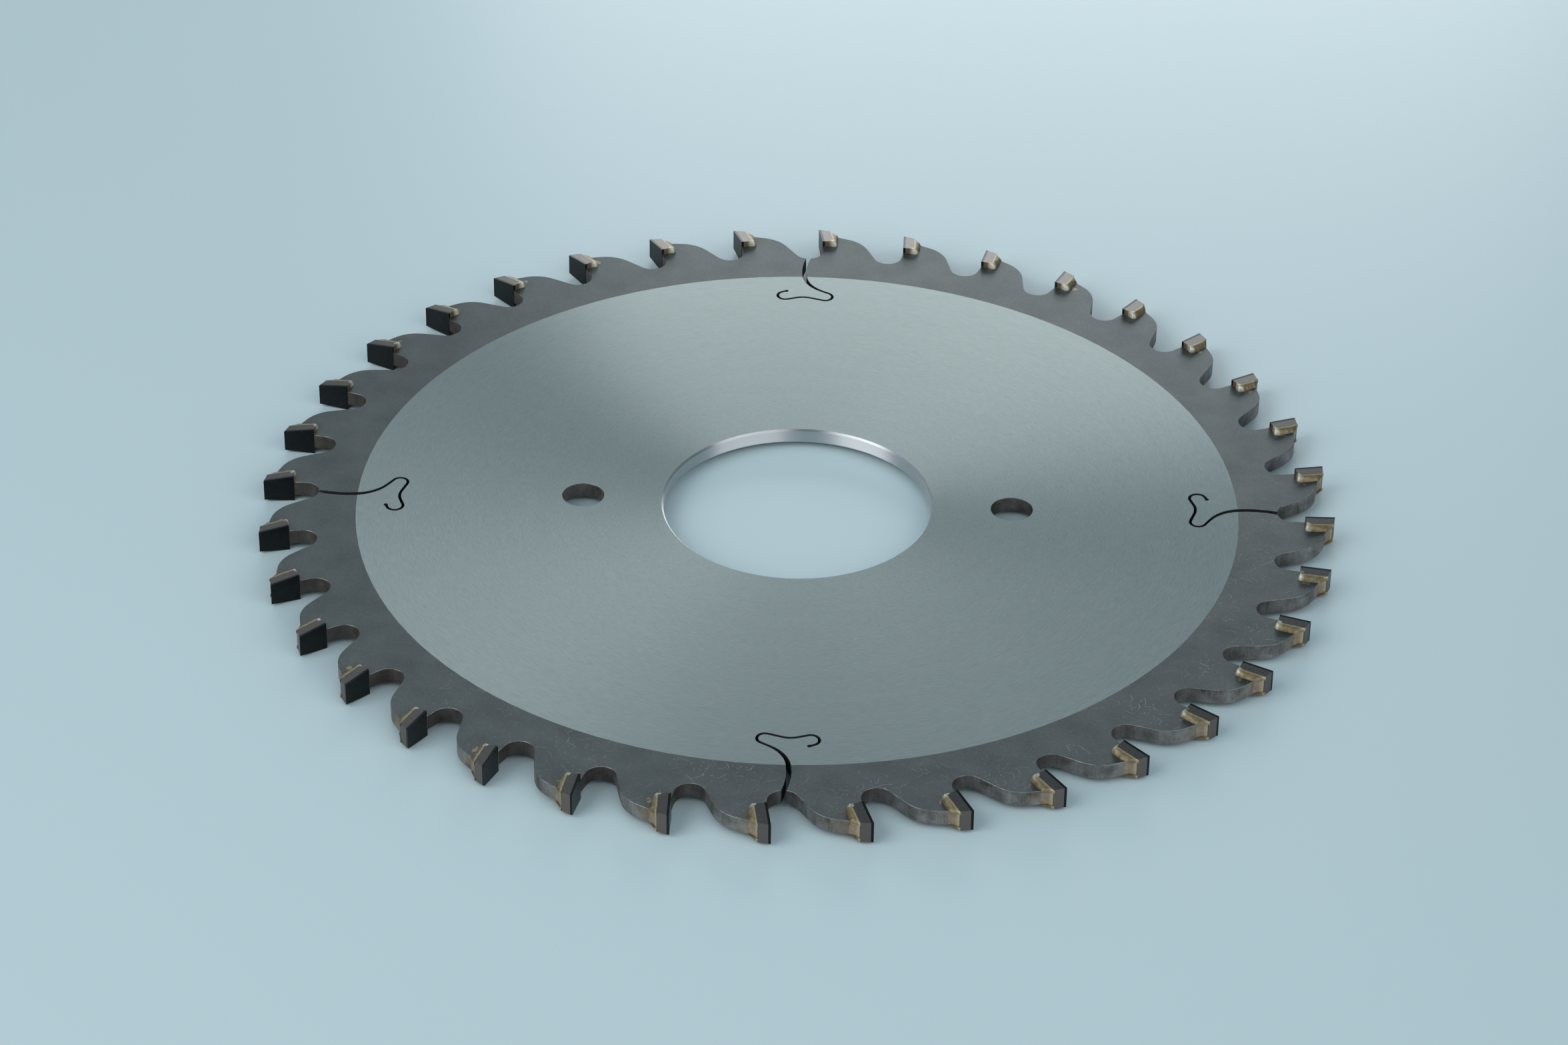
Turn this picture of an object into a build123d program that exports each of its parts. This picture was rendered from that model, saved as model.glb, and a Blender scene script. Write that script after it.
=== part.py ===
"""Conical circular saw blade: a laser-cut steel plate with brazed tips of carbide and diamond.

The origin is the bore's centre, halfway through the plate. +Z is the bore's axis, and +X runs through one pin
hole and the cutting corner of tooth 1. Seen from +Z the blade cuts anticlockwise.
"""

import os
from math import atan2, cos, degrees, radians, sin, tan

from build123d import *
from build123d.topology import SkipClean

# Plate
cutting_diameter = 180.0
plate_thickness = 2.6
bore_diameter = 45.0
bore_chamfer = 0.3
pin_circle_diameter = 72.0
pin_hole_diameter = 7.0
pin_hole_count = 2
ground_diameter = 147.8

# Teeth, all set out from the cutting corner of each tip
tooth_count = 36
gullet_depth = 9.55
gullet_radius = 2.5
gullet_wall_setback = 0.95
ramp_angle = 33.5
shoulder_radius = 6.1
heel_drop = 1.25
heel_setback = 2.3
land_angle = 18.0

# Tips: their kerf is wider at the root, and they narrow towards the back
tip_length = 5.1
tip_thickness = 2.0
diamond_thickness = 0.4
kerf_at_rim = 3.7
kerf_at_root = 4.75
hook_angle = 10.0
top_clearance = 10.0
side_clearance = 3.0

# Braze: a film in the seat, a bead on the land behind the tip and a fillet along the tip's foot
braze_film = 0.12
braze_bead_drop = 0.15
braze_bead_length = 1.3
braze_bead_hollow = 0.1
braze_corner_facets = 3
braze_fillet_width = 1.1
braze_step = 0.1

# Expansion slots: each leaves a gullet's floor and ends in a curl
slot_count = 4
slot_entry = 0.6
slot_heading = 164.0
slot_lead_radius = 16.5
slot_lead_turn = 23.0
slot_bend_radius = 6.6
slot_bend_turn = 50.5
slot_neck_length = 1.8
slot_curl_radius = 1.3
slot_curl_turn = 166.0
slot_side_length = 2.4
slot_crown_radius = 3.8
slot_crown_turn = 38.5
slot_far_side_length = 1.6
slot_hook_radius = 1.35
slot_hook_turn = 176.5
slot_tail_length = 0.8
slot_mouth_width = 0.82
slot_curl_width = 0.5
slot_end_diameter = 0.72

cutting_radius = cutting_diameter / 2
half_plate = plate_thickness / 2
pitch = 360 / tooth_count
rim_margin = 3.0  # how far the cutting tools run past the rim


def unit(angle):
    """The direction at this many degrees from +X."""
    return Vector(cos(radians(angle)), sin(radians(angle)))


def crossing(point_a, angle_a, point_b, angle_b):
    """Where two lines cross, each given by a point and a direction."""
    along_a = unit(angle_a)
    along_b = unit(angle_b)
    reach = (point_b - point_a).cross(along_b).Z / along_a.cross(along_b).Z
    return point_a + along_a * reach


def tooth_plane(index):
    """The place of a tooth, counted from 0: its cutting corner, X out along its face, Y the way it cuts."""
    corner = unit(index * pitch) * cutting_radius
    return Plane(origin=corner, x_dir=unit(index * pitch + hook_angle), z_dir=(0, 0, 1))


# The tooth space: the gullet's wall, its round floor, the ramp, the shoulder and the land behind the next tip
floor_radius = cutting_radius - gullet_depth
gullet_centre = Vector(floor_radius + gullet_radius, gullet_radius - gullet_wall_setback)
gullet_angle = degrees(atan2(gullet_centre.Y, gullet_centre.X))
root = gullet_centre - unit(ramp_angle / 2) * (gullet_radius / sin(radians(ramp_angle / 2)))
ramp_touch = gullet_centre + unit(ramp_angle + 90) * gullet_radius
land_point = Vector(cutting_radius - heel_drop, -heel_setback)
heel = land_point.rotate(Axis.Z, pitch)
land_direction = 90 + pitch - land_angle
shoulder = crossing(ramp_touch, ramp_angle, heel, land_direction)
land_end = heel + unit(land_direction)
outside = cutting_radius + rim_margin

with BuildSketch() as tooth_gap:
    with BuildLine():
        profile = FilletPolyline(
            (outside, -gullet_wall_setback),
            root,
            shoulder,
            land_end,
            radius=(gullet_radius, shoulder_radius),
        )
        Polyline(profile @ 1, unit(pitch) * outside, profile @ 0)
    make_face()

# The seat, which the tip and its film of braze fill
seat_depth = tip_thickness + braze_film
seat_foot = -tip_length - braze_film

with BuildSketch(tooth_plane(0)) as seat:
    with BuildLine():
        Polyline(
            (rim_margin, gullet_wall_setback),
            (rim_margin, -seat_depth),
            (seat_foot, -seat_depth),
            (seat_foot, gullet_wall_setback),
            close=True,
        )
    make_face()

# The slot's legs from the gullet's floor inwards: radius, turn or length, width at the start and at the end
slot_legs = (
    (slot_lead_radius, slot_lead_turn, slot_mouth_width, slot_mouth_width),
    (slot_bend_radius, slot_bend_turn, slot_mouth_width, slot_curl_width),
    (None, slot_neck_length, slot_curl_width, slot_curl_width),
    (slot_curl_radius, -slot_curl_turn, slot_curl_width, slot_curl_width),
    (None, slot_side_length, slot_curl_width, slot_curl_width),
    (slot_crown_radius, slot_crown_turn, slot_curl_width, slot_curl_width),
    (None, slot_far_side_length, slot_curl_width, slot_curl_width),
    (slot_hook_radius, -slot_hook_turn, slot_curl_width, slot_curl_width),
    (None, slot_tail_length, slot_curl_width, slot_curl_width),
)


def kerf_edge(leg, width_in, width_out, side):
    """One edge of the laser's kerf along a leg of the slot, on its left (+1) or right (-1)."""
    points = []
    for share in (0, 0.5, 1):
        width = width_in + (width_out - width_in) * share
        across = (leg % share).rotate(Axis.Z, 90) * (side * width / 2)
        points.append(leg @ share + across)
    return points


with BuildSketch() as slot:
    place = Vector(floor_radius, 0)
    way = unit(slot_heading)
    mouth = Line(place - way * slot_entry, place, mode=Mode.PRIVATE)
    legs = [(mouth, slot_mouth_width, slot_mouth_width)]
    for radius, amount, width_in, width_out in slot_legs:
        start = legs[-1][0] @ 1
        way = legs[-1][0] % 1
        if radius is None:
            leg = Line(start, start + way * amount, mode=Mode.PRIVATE)
        else:
            leg = JernArc(start, way, radius, amount, mode=Mode.PRIVATE)
        legs.append((leg, width_in, width_out))
    for leg, width_in, width_out in legs:
        left = kerf_edge(leg, width_in, width_out, 1)
        right = kerf_edge(leg, width_in, width_out, -1)
        with BuildLine():
            if leg.geom_type == GeomType.LINE:
                Polyline(left[0], left[2], right[2], right[0], close=True)
            else:
                ThreePointArc(*left)
                Line(left[2], right[2])
                ThreePointArc(*right)
                Line(right[0], left[0])
        make_face()
    with Locations(legs[-1][0] @ 1):
        Circle(slot_end_diameter / 2)

slot_teeth = [round(number * tooth_count / slot_count) for number in range(slot_count)]

lower_face = Plane.XY.offset(-half_plate)

with BuildSketch(lower_face) as laser_cuts:
    with PolarLocations(pin_circle_diameter / 2, pin_hole_count):
        Circle(pin_hole_diameter / 2)
    with PolarLocations(0, tooth_count):
        add(tooth_gap.sketch)
        add(seat.sketch)
    for tooth in slot_teeth:
        add(slot.sketch, rotation=tooth * pitch + gullet_angle)

with BuildSketch(lower_face) as rim_ring:
    Circle(cutting_radius)
    Circle(ground_diameter / 2, mode=Mode.SUBTRACT)

# Only the middle is ground: on both sides it stays a face of its own, in one plane with the rim's
with BuildPart() as saw_plate:
    with BuildSketch(lower_face):
        Circle(ground_diameter / 2)
        Circle(bore_diameter / 2, mode=Mode.SUBTRACT)
    extrude(amount=plate_thickness)
    chamfer(edges().filter_by(GeomType.CIRCLE).group_by(SortBy.RADIUS)[0], bore_chamfer)
    with SkipClean():
        extrude(rim_ring.sketch, amount=plate_thickness, clean=False)
        extrude(laser_cuts.sketch, amount=plate_thickness, clean=False, mode=Mode.SUBTRACT)

# The tip, made once at its own cutting corner: X out along the face, Y the way it cuts
root_flare = (kerf_at_root - kerf_at_rim) / 2
back_slope = tan(radians(side_clearance))
flank = Plane(
    origin=(0, 0, kerf_at_rim / 2),
    x_dir=(-tip_length, 0, root_flare),
    z_dir=(root_flare, -tip_length * back_slope, tip_length),
)


def top_drop(depth):
    """How far the ground top has fallen at this depth behind the cutting face."""
    return depth * tan(radians(hook_angle + top_clearance))


def flank_height(reach, depth):
    """The flank's height above the plate's middle, this far in from the rim and behind the cutting face."""
    return kerf_at_rim / 2 + root_flare * reach / tip_length - back_slope * depth


def tip_outline(front, back):
    """The tip between two depths behind its cutting face, seen from above."""
    with BuildSketch() as outline:
        with BuildLine():
            Polyline(
                (-top_drop(front), -front),
                (-top_drop(back), -back),
                (-tip_length, -back),
                (-tip_length, -front),
                close=True,
            )
        make_face()
    return outline.sketch


with BuildPart() as diamond_layer:
    extrude(tip_outline(0, diamond_thickness), amount=kerf_at_root / 2)
    split(bisect_by=flank, keep=Keep.BOTTOM)
    mirror(about=Plane.XY)

with BuildPart() as carbide_body:
    extrude(tip_outline(diamond_thickness, tip_thickness), amount=kerf_at_root / 2)
    split(bisect_by=flank, keep=Keep.BOTTOM)
    mirror(about=Plane.XY)

# Where the braze meets the land behind the tip and the gullet's wall in front of it
back_corner = Vector(-top_drop(tip_thickness), -tip_thickness)
root_corner = Vector(-tip_length, -tip_thickness)
land_start = tooth_plane(0).to_local_coords(land_point)
land_way = 270 - land_angle - hook_angle
film_heel = crossing(Vector(0, -seat_depth), 180, land_start, land_way)
bead_top = back_corner - (braze_bead_drop, 0)
bead_end = film_heel + unit(land_way) * braze_bead_length
wall_start = tooth_plane(0).to_local_coords(Vector(cutting_radius, -gullet_wall_setback))
wall_way = 180 - hook_angle
film_end = crossing(Vector(-tip_length, 0), 90, wall_start, wall_way)
ledge_end = crossing(Vector(seat_foot, 0), 90, wall_start, wall_way)

height_at_root = flank_height(tip_length, tip_thickness) - braze_step - half_plate
height_at_rim = flank_height(-film_heel.X, tip_thickness) - braze_step - half_plate


def fillet_section(place, away, share):
    """The triangle of braze between a tip's foot and the plate, as a share of its size at the tip's root."""
    width = braze_fillet_width * share
    height = height_at_root * share
    with BuildSketch(Plane(origin=place, x_dir=away, z_dir=Vector(away).cross(Vector(0, 0, 1)))) as section:
        with BuildLine():
            Polyline((0, half_plate), (width, half_plate), (0, half_plate + height), close=True)
        make_face()
    return section.sketch


rim_corner = Vector(film_heel.X, -tip_thickness)
back_section = fillet_section(root_corner, (0, -1, 0), 1)
rim_section = fillet_section(rim_corner, (0, -1, 0), height_at_rim / height_at_root)
root_section = fillet_section(root_corner, (-1, 0, 0), 1)
fillet_end = Vertex(film_end.X, film_end.Y, half_plate)

# Round the tip's inner corner the fillet turns a quarter, as a few flat faces that meet at the tip's edge
corner_top = Vertex(root_corner.X, root_corner.Y, half_plate + height_at_root)
corner_ways = [180 + 90 * step / braze_corner_facets for step in range(braze_corner_facets + 1)]

with BuildSketch(Plane(origin=(root_corner.X, root_corner.Y, half_plate))) as corner_foot:
    with BuildLine():
        Polyline((0, 0), *[unit(way) * braze_fillet_width for way in corner_ways], close=True)
    make_face()

with BuildPart() as braze_fillets:
    loft([back_section, rim_section])
    loft([root_section, fillet_end])
    loft([corner_foot.sketch, corner_top])
    mirror(about=Plane.XY)

with BuildPart() as braze_joint:
    with BuildSketch():
        with BuildLine():
            SagittaArc(bead_end, bead_top, braze_bead_hollow)
            Polyline(
                bead_top,
                root_corner,
                film_end,
                ledge_end,
                (seat_foot, -seat_depth),
                film_heel,
                bead_end,
            )
        make_face()
    extrude(amount=half_plate, both=True)
    add(braze_fillets.part)

os.makedirs("parts", exist_ok=True)
saw_plate.part.label = "saw_plate"
export_step(saw_plate.part, "parts/saw_plate.step")

for index in range(tooth_count):
    with BuildPart() as carbide_tip:
        with Locations(tooth_plane(index).location):
            add(carbide_body.part)
    carbide_tip.part.label = f"carbide_tip_{index + 1:02d}"
    export_step(carbide_tip.part, f"parts/{carbide_tip.part.label}.step")

# The diamond layers and the braze joints are grouped by the sectors between the expansion slots
for sector in range(slot_count):
    sector_teeth = [index for index in range(tooth_count) if index * slot_count // tooth_count == sector]
    seats = [tooth_plane(index).location for index in sector_teeth]
    with BuildPart() as diamond_layers:
        with Locations(*seats):
            add(diamond_layer.part)
    diamond_layers.part.label = f"diamond_layers_sector_{sector + 1}"
    export_step(diamond_layers.part, f"parts/{diamond_layers.part.label}.step")
    with BuildPart() as braze_joints:
        with Locations(*seats):
            add(braze_joint.part)
    braze_joints.part.label = f"braze_joints_sector_{sector + 1}"
    export_step(braze_joints.part, f"parts/{braze_joints.part.label}.step")
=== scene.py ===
# %% [markdown]
# # A conical saw blade with brazed diamond tips
#
# The blade is one laser-cut steel plate, ground bright in the middle, with 36 small tips brazed into
# seats round its rim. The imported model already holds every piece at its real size. This lesson gives each
# piece its surface: the ground and the hardened steel, the cut edges, the polished bore, the carbide, the
# black diamond and the braze.

# %% The frame and its box
from math import cos, pi, radians, sin

import bmesh
import bpy
from mathutils import Matrix, Vector, noise


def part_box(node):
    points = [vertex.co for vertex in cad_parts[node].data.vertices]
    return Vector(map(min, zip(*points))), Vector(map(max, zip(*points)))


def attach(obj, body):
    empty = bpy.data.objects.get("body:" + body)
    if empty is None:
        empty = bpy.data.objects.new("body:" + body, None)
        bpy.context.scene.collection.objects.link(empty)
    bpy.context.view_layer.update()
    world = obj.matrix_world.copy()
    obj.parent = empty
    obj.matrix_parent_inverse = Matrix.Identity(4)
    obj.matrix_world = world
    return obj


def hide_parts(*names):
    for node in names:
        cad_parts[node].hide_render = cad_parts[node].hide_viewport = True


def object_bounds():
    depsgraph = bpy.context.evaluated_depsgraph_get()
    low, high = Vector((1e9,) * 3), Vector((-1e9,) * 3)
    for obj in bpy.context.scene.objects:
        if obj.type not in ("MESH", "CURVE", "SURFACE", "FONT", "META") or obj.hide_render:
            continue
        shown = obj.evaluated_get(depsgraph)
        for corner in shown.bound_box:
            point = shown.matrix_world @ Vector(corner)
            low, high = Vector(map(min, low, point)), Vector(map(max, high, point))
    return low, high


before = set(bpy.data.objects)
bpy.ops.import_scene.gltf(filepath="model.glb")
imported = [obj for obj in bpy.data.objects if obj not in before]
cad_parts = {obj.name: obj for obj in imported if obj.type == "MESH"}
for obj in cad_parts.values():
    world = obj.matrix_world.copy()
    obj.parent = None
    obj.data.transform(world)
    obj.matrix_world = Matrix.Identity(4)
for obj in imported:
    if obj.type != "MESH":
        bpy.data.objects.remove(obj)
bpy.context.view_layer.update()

# %% [markdown]
# ## Units and sizes
#
# Blender works in metres and a blade is measured in millimetres, so `MM` turns one into the other. A few
# sizes of the blade are needed again for the finishes. They could be typed in, but here they are read
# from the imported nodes, so that the look follows the model if a size changes. Two are written out,
# because a mesh doesn't give them away at once: how far the grinding reaches, and how far the cutting
# faces lean forward.

# %% Sizes of the blade
MM = 0.001
GROUND_RADIUS = 73.9 * MM
HOOK = radians(10)
plate_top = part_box("saw_plate")[1].z
tips_low = min(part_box(name)[0].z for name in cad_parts)
tooth_count = sum(name.startswith("carbide_tip_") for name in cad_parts)
pitch = radians(360 / tooth_count)
cutting_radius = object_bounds()[1][1]
bore_radius = min(Vector(v.co[:2]).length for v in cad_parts["saw_plate"].data.vertices)
print("teeth", tooth_count, "cutting radius", cutting_radius, "bore radius", bore_radius)
print("rests at", tips_low, "top of the plate", plate_top)

# %% [markdown]
# ## Colours and nodes
#
# A colour given here is an sRGB value, but a shader works with linear light, so `linear` turns a hex
# value into what the shader needs. `add_node` adds one shader node, sets its properties and fills its
# inputs. An input takes a plain value, another node's output, or another node, which then stands for its
# first output. The stops of a colour ramp are pairs of a place and a hex value.
#
# Sockets that share a name are given by number. In Map Range, 1 and 2 are the range that comes in, and 3
# and 4 what it becomes. In Mix, 0 is the share of the second value, 2 and 3 are numbers and 6 and 7
# colours, and the mixed colour is output 2.


# %% Two small helpers
def linear(hex_colour):
    """The linear RGBA of an sRGB hex colour."""
    channels = [int(hex_colour[i : i + 2], 16) / 255 for i in (0, 2, 4)]
    return [c / 12.92 if c <= 0.04045 else ((c + 0.055) / 1.055) ** 2.4 for c in channels] + [1.0]


def add_node(tree, kind, inputs=None, stops=(), **settings):
    """Adds a shader node, sets its properties and stops, and sets or links its inputs by name or number."""
    node = tree.nodes.new("ShaderNode" + kind)
    for name, value in settings.items():
        setattr(node, name, value)
    for number, (position, colour) in enumerate(stops):
        elements = node.color_ramp.elements
        stop = elements[number] if number < len(elements) else elements.new(position)
        stop.position = position
        stop.color = linear(colour)
    for key, value in (inputs or {}).items():
        source = value.outputs[0] if isinstance(value, bpy.types.Node) else value
        if isinstance(source, bpy.types.NodeSocket):
            tree.links.new(source, node.inputs[key])
        else:
            node.inputs[key].default_value = source
    return node


# %% [markdown]
# ## The start and the end of a material
#
# Every finish here ends in one Principled shader, because that is what the exported model can hold. The
# two functions below open a material and close it, so that each finish shows only what is its own.


# %% A material's start and end
def new_material(name):
    """An empty material and its node tree."""
    material = bpy.data.materials.new(name)
    material.use_nodes = True
    material.node_tree.nodes.clear()
    return material, material.node_tree


def finish_material(material, **inputs):
    """Gives a material its Principled shader, whose inputs are named with underscores, and returns it."""
    tree = material.node_tree
    named = {name.replace("_", " "): value for name, value in inputs.items()}
    shader = add_node(tree, "BsdfPrincipled", named)
    add_node(tree, "OutputMaterial", {"Surface": shader})
    print("finish", material.name, "nodes", len(tree.nodes))
    return material


# %% [markdown]
# ## One place for every pattern
#
# A saw blade is turned, ground and indexed, so its marks follow circles and repeat with the teeth. They
# could be painted on a UV map, but here they are laid out in polar terms on the Object coordinates: the
# distance from the bore's axis, and the direction away from it. No map is needed, and a pattern stays put
# on the metal.
#
# Marks that come back at each tip are laid out from the tooth's cutting corner: how far in a point lies
# along the cutting face, and how far behind that face. The marks of a gullet are laid out along its
# circle, by how far ahead of a seat they lie. The modulo of the angle brings every tooth to the same
# place.

# %% The polar layout
SEAT_BACKSET = 1.4 * MM


def polar_layout(tree):
    """Sockets for a point's place: object coordinates, radius, outward direction and height."""
    place = add_node(tree, "TexCoord").outputs["Object"]
    parts = add_node(tree, "SeparateXYZ", {0: place})
    flat = add_node(tree, "CombineXYZ", {0: parts.outputs[0], 1: parts.outputs[1]})
    radius = add_node(tree, "VectorMath", {0: flat}, operation="LENGTH").outputs["Value"]
    outward = add_node(tree, "VectorMath", {0: flat}, operation="NORMALIZE")
    return {"place": place, "flat": flat, "radius": radius, "outward": outward, "height": parts.outputs[2]}


def tooth_layout(tree, polar):
    """Sockets for a point's place at its tooth: in from the rim, behind the face and ahead of the seat."""
    parts = add_node(tree, "SeparateXYZ", {0: polar["flat"]})
    angle = add_node(tree, "Math", {0: parts.outputs[1], 1: parts.outputs[0]}, operation="ARCTAN2")
    backwards = add_node(tree, "Math", {0: angle, 1: -1.0}, operation="MULTIPLY")
    turned = add_node(tree, "Math", {0: backwards, 1: pitch}, operation="FLOORED_MODULO")
    back = add_node(tree, "Math", {0: turned, 1: -1.0}, operation="MULTIPLY")
    level = add_node(tree, "CombineXYZ", {0: polar["radius"]})
    spot = add_node(tree, "VectorRotate", {"Vector": level, "Angle": back}, rotation_type="Z_AXIS")
    corner = (cutting_radius, 0, 0)
    shifted = add_node(tree, "VectorMath", {0: spot, 1: corner}, operation="SUBTRACT")
    hooked = add_node(tree, "VectorRotate", {"Vector": shifted, "Angle": -HOOK}, rotation_type="Z_AXIS")
    own = add_node(tree, "SeparateXYZ", {0: hooked})
    inward = add_node(tree, "Math", {0: own.outputs[0], 1: -1.0}, operation="MULTIPLY")
    behind = add_node(tree, "Math", {0: own.outputs[1], 1: -1.0}, operation="MULTIPLY")
    onwards = add_node(tree, "Math", {0: angle, 1: SEAT_BACKSET / cutting_radius}, operation="ADD")
    left = add_node(tree, "Math", {0: onwards, 1: pitch}, operation="FLOORED_MODULO")
    ahead = add_node(tree, "Math", {0: left, 1: polar["radius"]}, operation="MULTIPLY")
    return {"inward": inward, "behind": behind, "ahead": ahead}


def distance_at_tooth(tree, tooth, middle):
    """How far a point lies from a place that is given in the tooth's layout: in from the rim, and behind."""
    spot = add_node(tree, "CombineXYZ", {0: tooth["inward"], 1: tooth["behind"]})
    return add_node(tree, "VectorMath", {0: spot, 1: middle}, operation="DISTANCE").outputs["Value"]


# %% [markdown]
# ## The tip's own axes
#
# The braze and some finishes have to know where a tip ends. The tip's mesh could be measured by hand, but
# it is quicker to turn one tip into the tooth's own axes, X out along its cutting face and Y the way it
# cuts, and to read its sizes there. Its flank isn't level: it falls away towards the rim and towards the
# back, so that the tip doesn't rub in the cut. Three of its corners fix that slope. Braze that is ground
# with the flank follows it and stops a hair lower, so that the two don't lie in one plane.

# %% The tip's own axes and its flank
GROUND_STEP = 0.01 * MM


def tooth_frame(index):
    """A tooth's own axes: X out along its cutting face, Y the way it cuts."""
    corner = Matrix.Rotation(index * pitch, 4, "Z") @ Matrix.Translation((cutting_radius, 0, 0))
    return corner @ Matrix.Rotation(HOOK, 4, "Z")


into_first = tooth_frame(0).inverted()
tip_corners = [into_first @ v.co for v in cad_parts["carbide_tip_01"].data.vertices]
tip_length = -min(corner.x for corner in tip_corners)
tip_thickness = -min(corner.y for corner in tip_corners)
top_corners = [corner for corner in tip_corners if corner.z > 0]
root_back = min(top_corners, key=lambda corner: corner.x + corner.y)
root_front = min(top_corners, key=lambda corner: corner.x - corner.y)
rim_back = max(top_corners, key=lambda corner: corner.x - corner.y)


def flank_height(point):
    """The height of the tip's ground flank above the plate, at a point in the tooth's own axes."""
    outward = (point.x - root_back.x) / (rim_back.x - root_back.x)
    forward = (point.y - root_back.y) / (root_front.y - root_back.y)
    level = root_back.z + (rim_back.z - root_back.z) * outward + (root_front.z - root_back.z) * forward
    return level - plate_top - GROUND_STEP


print(f"tip {tip_length / MM:.2f} mm long and {tip_thickness / MM:.2f} mm thick")
print(f"flank {flank_height(root_back) / MM:.2f} mm above the plate at the root's back")

# %% [markdown]
# ## Ground steel
#
# The middle of the plate is finished on a rotary surface grinder, which leaves thousands of fine circular
# scratches. Each scratch mirrors light across itself, so the highlights fan out from the bore as broad
# light and dark sectors. Cutting real scratches would take millions of faces. An anisotropic metal does
# the same when its tangent points outwards: the highlight is stretched across the grain. The scratches
# are really about 0.02 mm apart. They are drawn 0.075 mm wide, so that they show in a picture.

# %% Ground steel
GRAIN_WIDTH = 0.075 * MM
GRAIN_LENGTH = 1.2 * MM
GRAIN_DEPTH = 0.01 * MM
CLOUD_WIDTH = 1.2 * MM
CLOUD_LENGTH = 14.0 * MM
CLOUD_SHARE = 0.10


def circular_grain(tree, polar, width, length, detail):
    """A noise drawn out along circles round the bore: width across the grain, length along it."""
    middle = (bore_radius + GROUND_RADIUS) / 2
    around = add_node(tree, "VectorMath", {0: polar["outward"], "Scale": middle / length}, operation="SCALE")
    across = add_node(tree, "Math", {0: polar["radius"], 1: 1 / width}, operation="MULTIPLY")
    lifted = add_node(tree, "CombineXYZ", {2: across})
    spot = add_node(tree, "VectorMath", {0: around, 1: lifted}, operation="ADD")
    return add_node(tree, "TexNoise", {"Vector": spot, "Scale": 1.0, "Detail": detail})


def ground_steel():
    """Steel ground in circles: neutral grey, medium gloss, with light and dark sectors."""
    material, tree = new_material("ground_steel")
    polar = polar_layout(tree)
    grain = circular_grain(tree, polar, GRAIN_WIDTH, GRAIN_LENGTH, 3.0)
    cloud = circular_grain(tree, polar, CLOUD_WIDTH, CLOUD_LENGTH, 2.0)
    both = add_node(tree, "Mix", {0: CLOUD_SHARE, 2: grain, 3: cloud}, data_type="FLOAT")
    tone = add_node(tree, "ValToRGB", {0: both}, stops=[(0.30, "95a1a0"), (0.70, "abb8b8")])
    gloss = add_node(tree, "MapRange", {0: both, 1: 0.3, 2: 0.7, 3: 0.31, 4: 0.36})
    relief = add_node(tree, "Bump", {"Strength": 0.05, "Distance": GRAIN_DEPTH, "Height": grain})
    return finish_material(
        material,
        Base_Color=tone,
        Metallic=1.0,
        Roughness=gloss,
        Anisotropic=0.68,
        Tangent=polar["outward"],
        Normal=relief,
    )


ground_finish = ground_steel()

# %% [markdown]
# ## Heat stain
#
# A torch or a coil heats each tooth until the braze flows, and the steel beside the tip turns brown. The
# stain is strongest just behind the tip, fades within a few millimetres, and isn't the same at every
# tooth. It could be painted, but two fades in the tooth's layout, broken up by a fine and a broad noise,
# put it at all 36 teeth at once.

# %% Heat stain
STAIN_START = 2.2 * MM
STAIN_IN_START = 3 * MM
STAIN_IN_END = 7.5 * MM
STAIN_PATCH = 1.5 * MM
TORCH_PATCH = 22 * MM


def heat_stain(tree, polar, end):
    """How strongly the torch has browned a point: most just behind the tip, and only near the rim."""
    tooth = tooth_layout(tree, polar)
    place = polar["place"]
    fade = {0: tooth["behind"], 1: STAIN_START, 2: end, 3: 1.0, 4: 0.0}
    near_tip = add_node(tree, "MapRange", fade, interpolation_type="SMOOTHSTEP")
    reach = {0: tooth["inward"], 1: STAIN_IN_START, 2: STAIN_IN_END, 3: 1.0, 4: 0.0}
    near_rim = add_node(tree, "MapRange", reach, interpolation_type="SMOOTHSTEP")
    patch = add_node(tree, "TexNoise", {"Vector": place, "Scale": 1 / STAIN_PATCH, "Detail": 3.0})
    uneven = add_node(tree, "MapRange", {0: patch, 1: 0.35, 2: 0.65, 3: 0.35, 4: 1.0})
    torch = add_node(tree, "TexNoise", {"Vector": place, "Scale": 1 / TORCH_PATCH, "Detail": 1.0})
    heat = add_node(tree, "MapRange", {0: torch, 1: 0.42, 2: 0.6, 3: 0.3, 4: 1.0})
    both = add_node(tree, "Math", {0: near_tip, 1: near_rim}, operation="MULTIPLY")
    patchy = add_node(tree, "Math", {0: both, 1: uneven}, operation="MULTIPLY")
    return add_node(tree, "Math", {0: patchy, 1: heat}, operation="MULTIPLY")


print(f"heat stain: full up to {STAIN_START / MM:.1f} mm behind the cutting face")

# %% [markdown]
# ## Lint
#
# The skin is rough enough to catch fine curled fibres of lint from a wiping cloth, most of them at the
# front right. Curves scattered as objects would be thousands of pieces, so they are a pattern: each cell
# of a Voronoi texture can hold one fibre, and the cell's own point and random colour give the fibre's
# place, turn and wave. The fibres are about 0.03 mm thick. They are drawn 0.065 mm wide, so that they
# show in a picture. The other side of the plate gets other fibres, because its height shifts the cells.

# %% Lint
FIBRE_WIDTH = 0.065 * MM
FIBRE_WAVE = 2.2 * MM
FIBRE_CURL = 0.14
UNDERSIDE_SHIFT = 40
LONG_LINT = {"cell": 2.2 * MM, "length": 1.8 * MM, "share": 0.5}
SHORT_LINT = {"cell": 1.1 * MM, "length": 0.45 * MM, "share": 0.4}
LINT_PATCH = 9 * MM
LINT_SIDE = (0.37, -0.93, 0)
LINT_SIDE_START = 5 * MM
LINT_SIDE_END = 65 * MM


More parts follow.
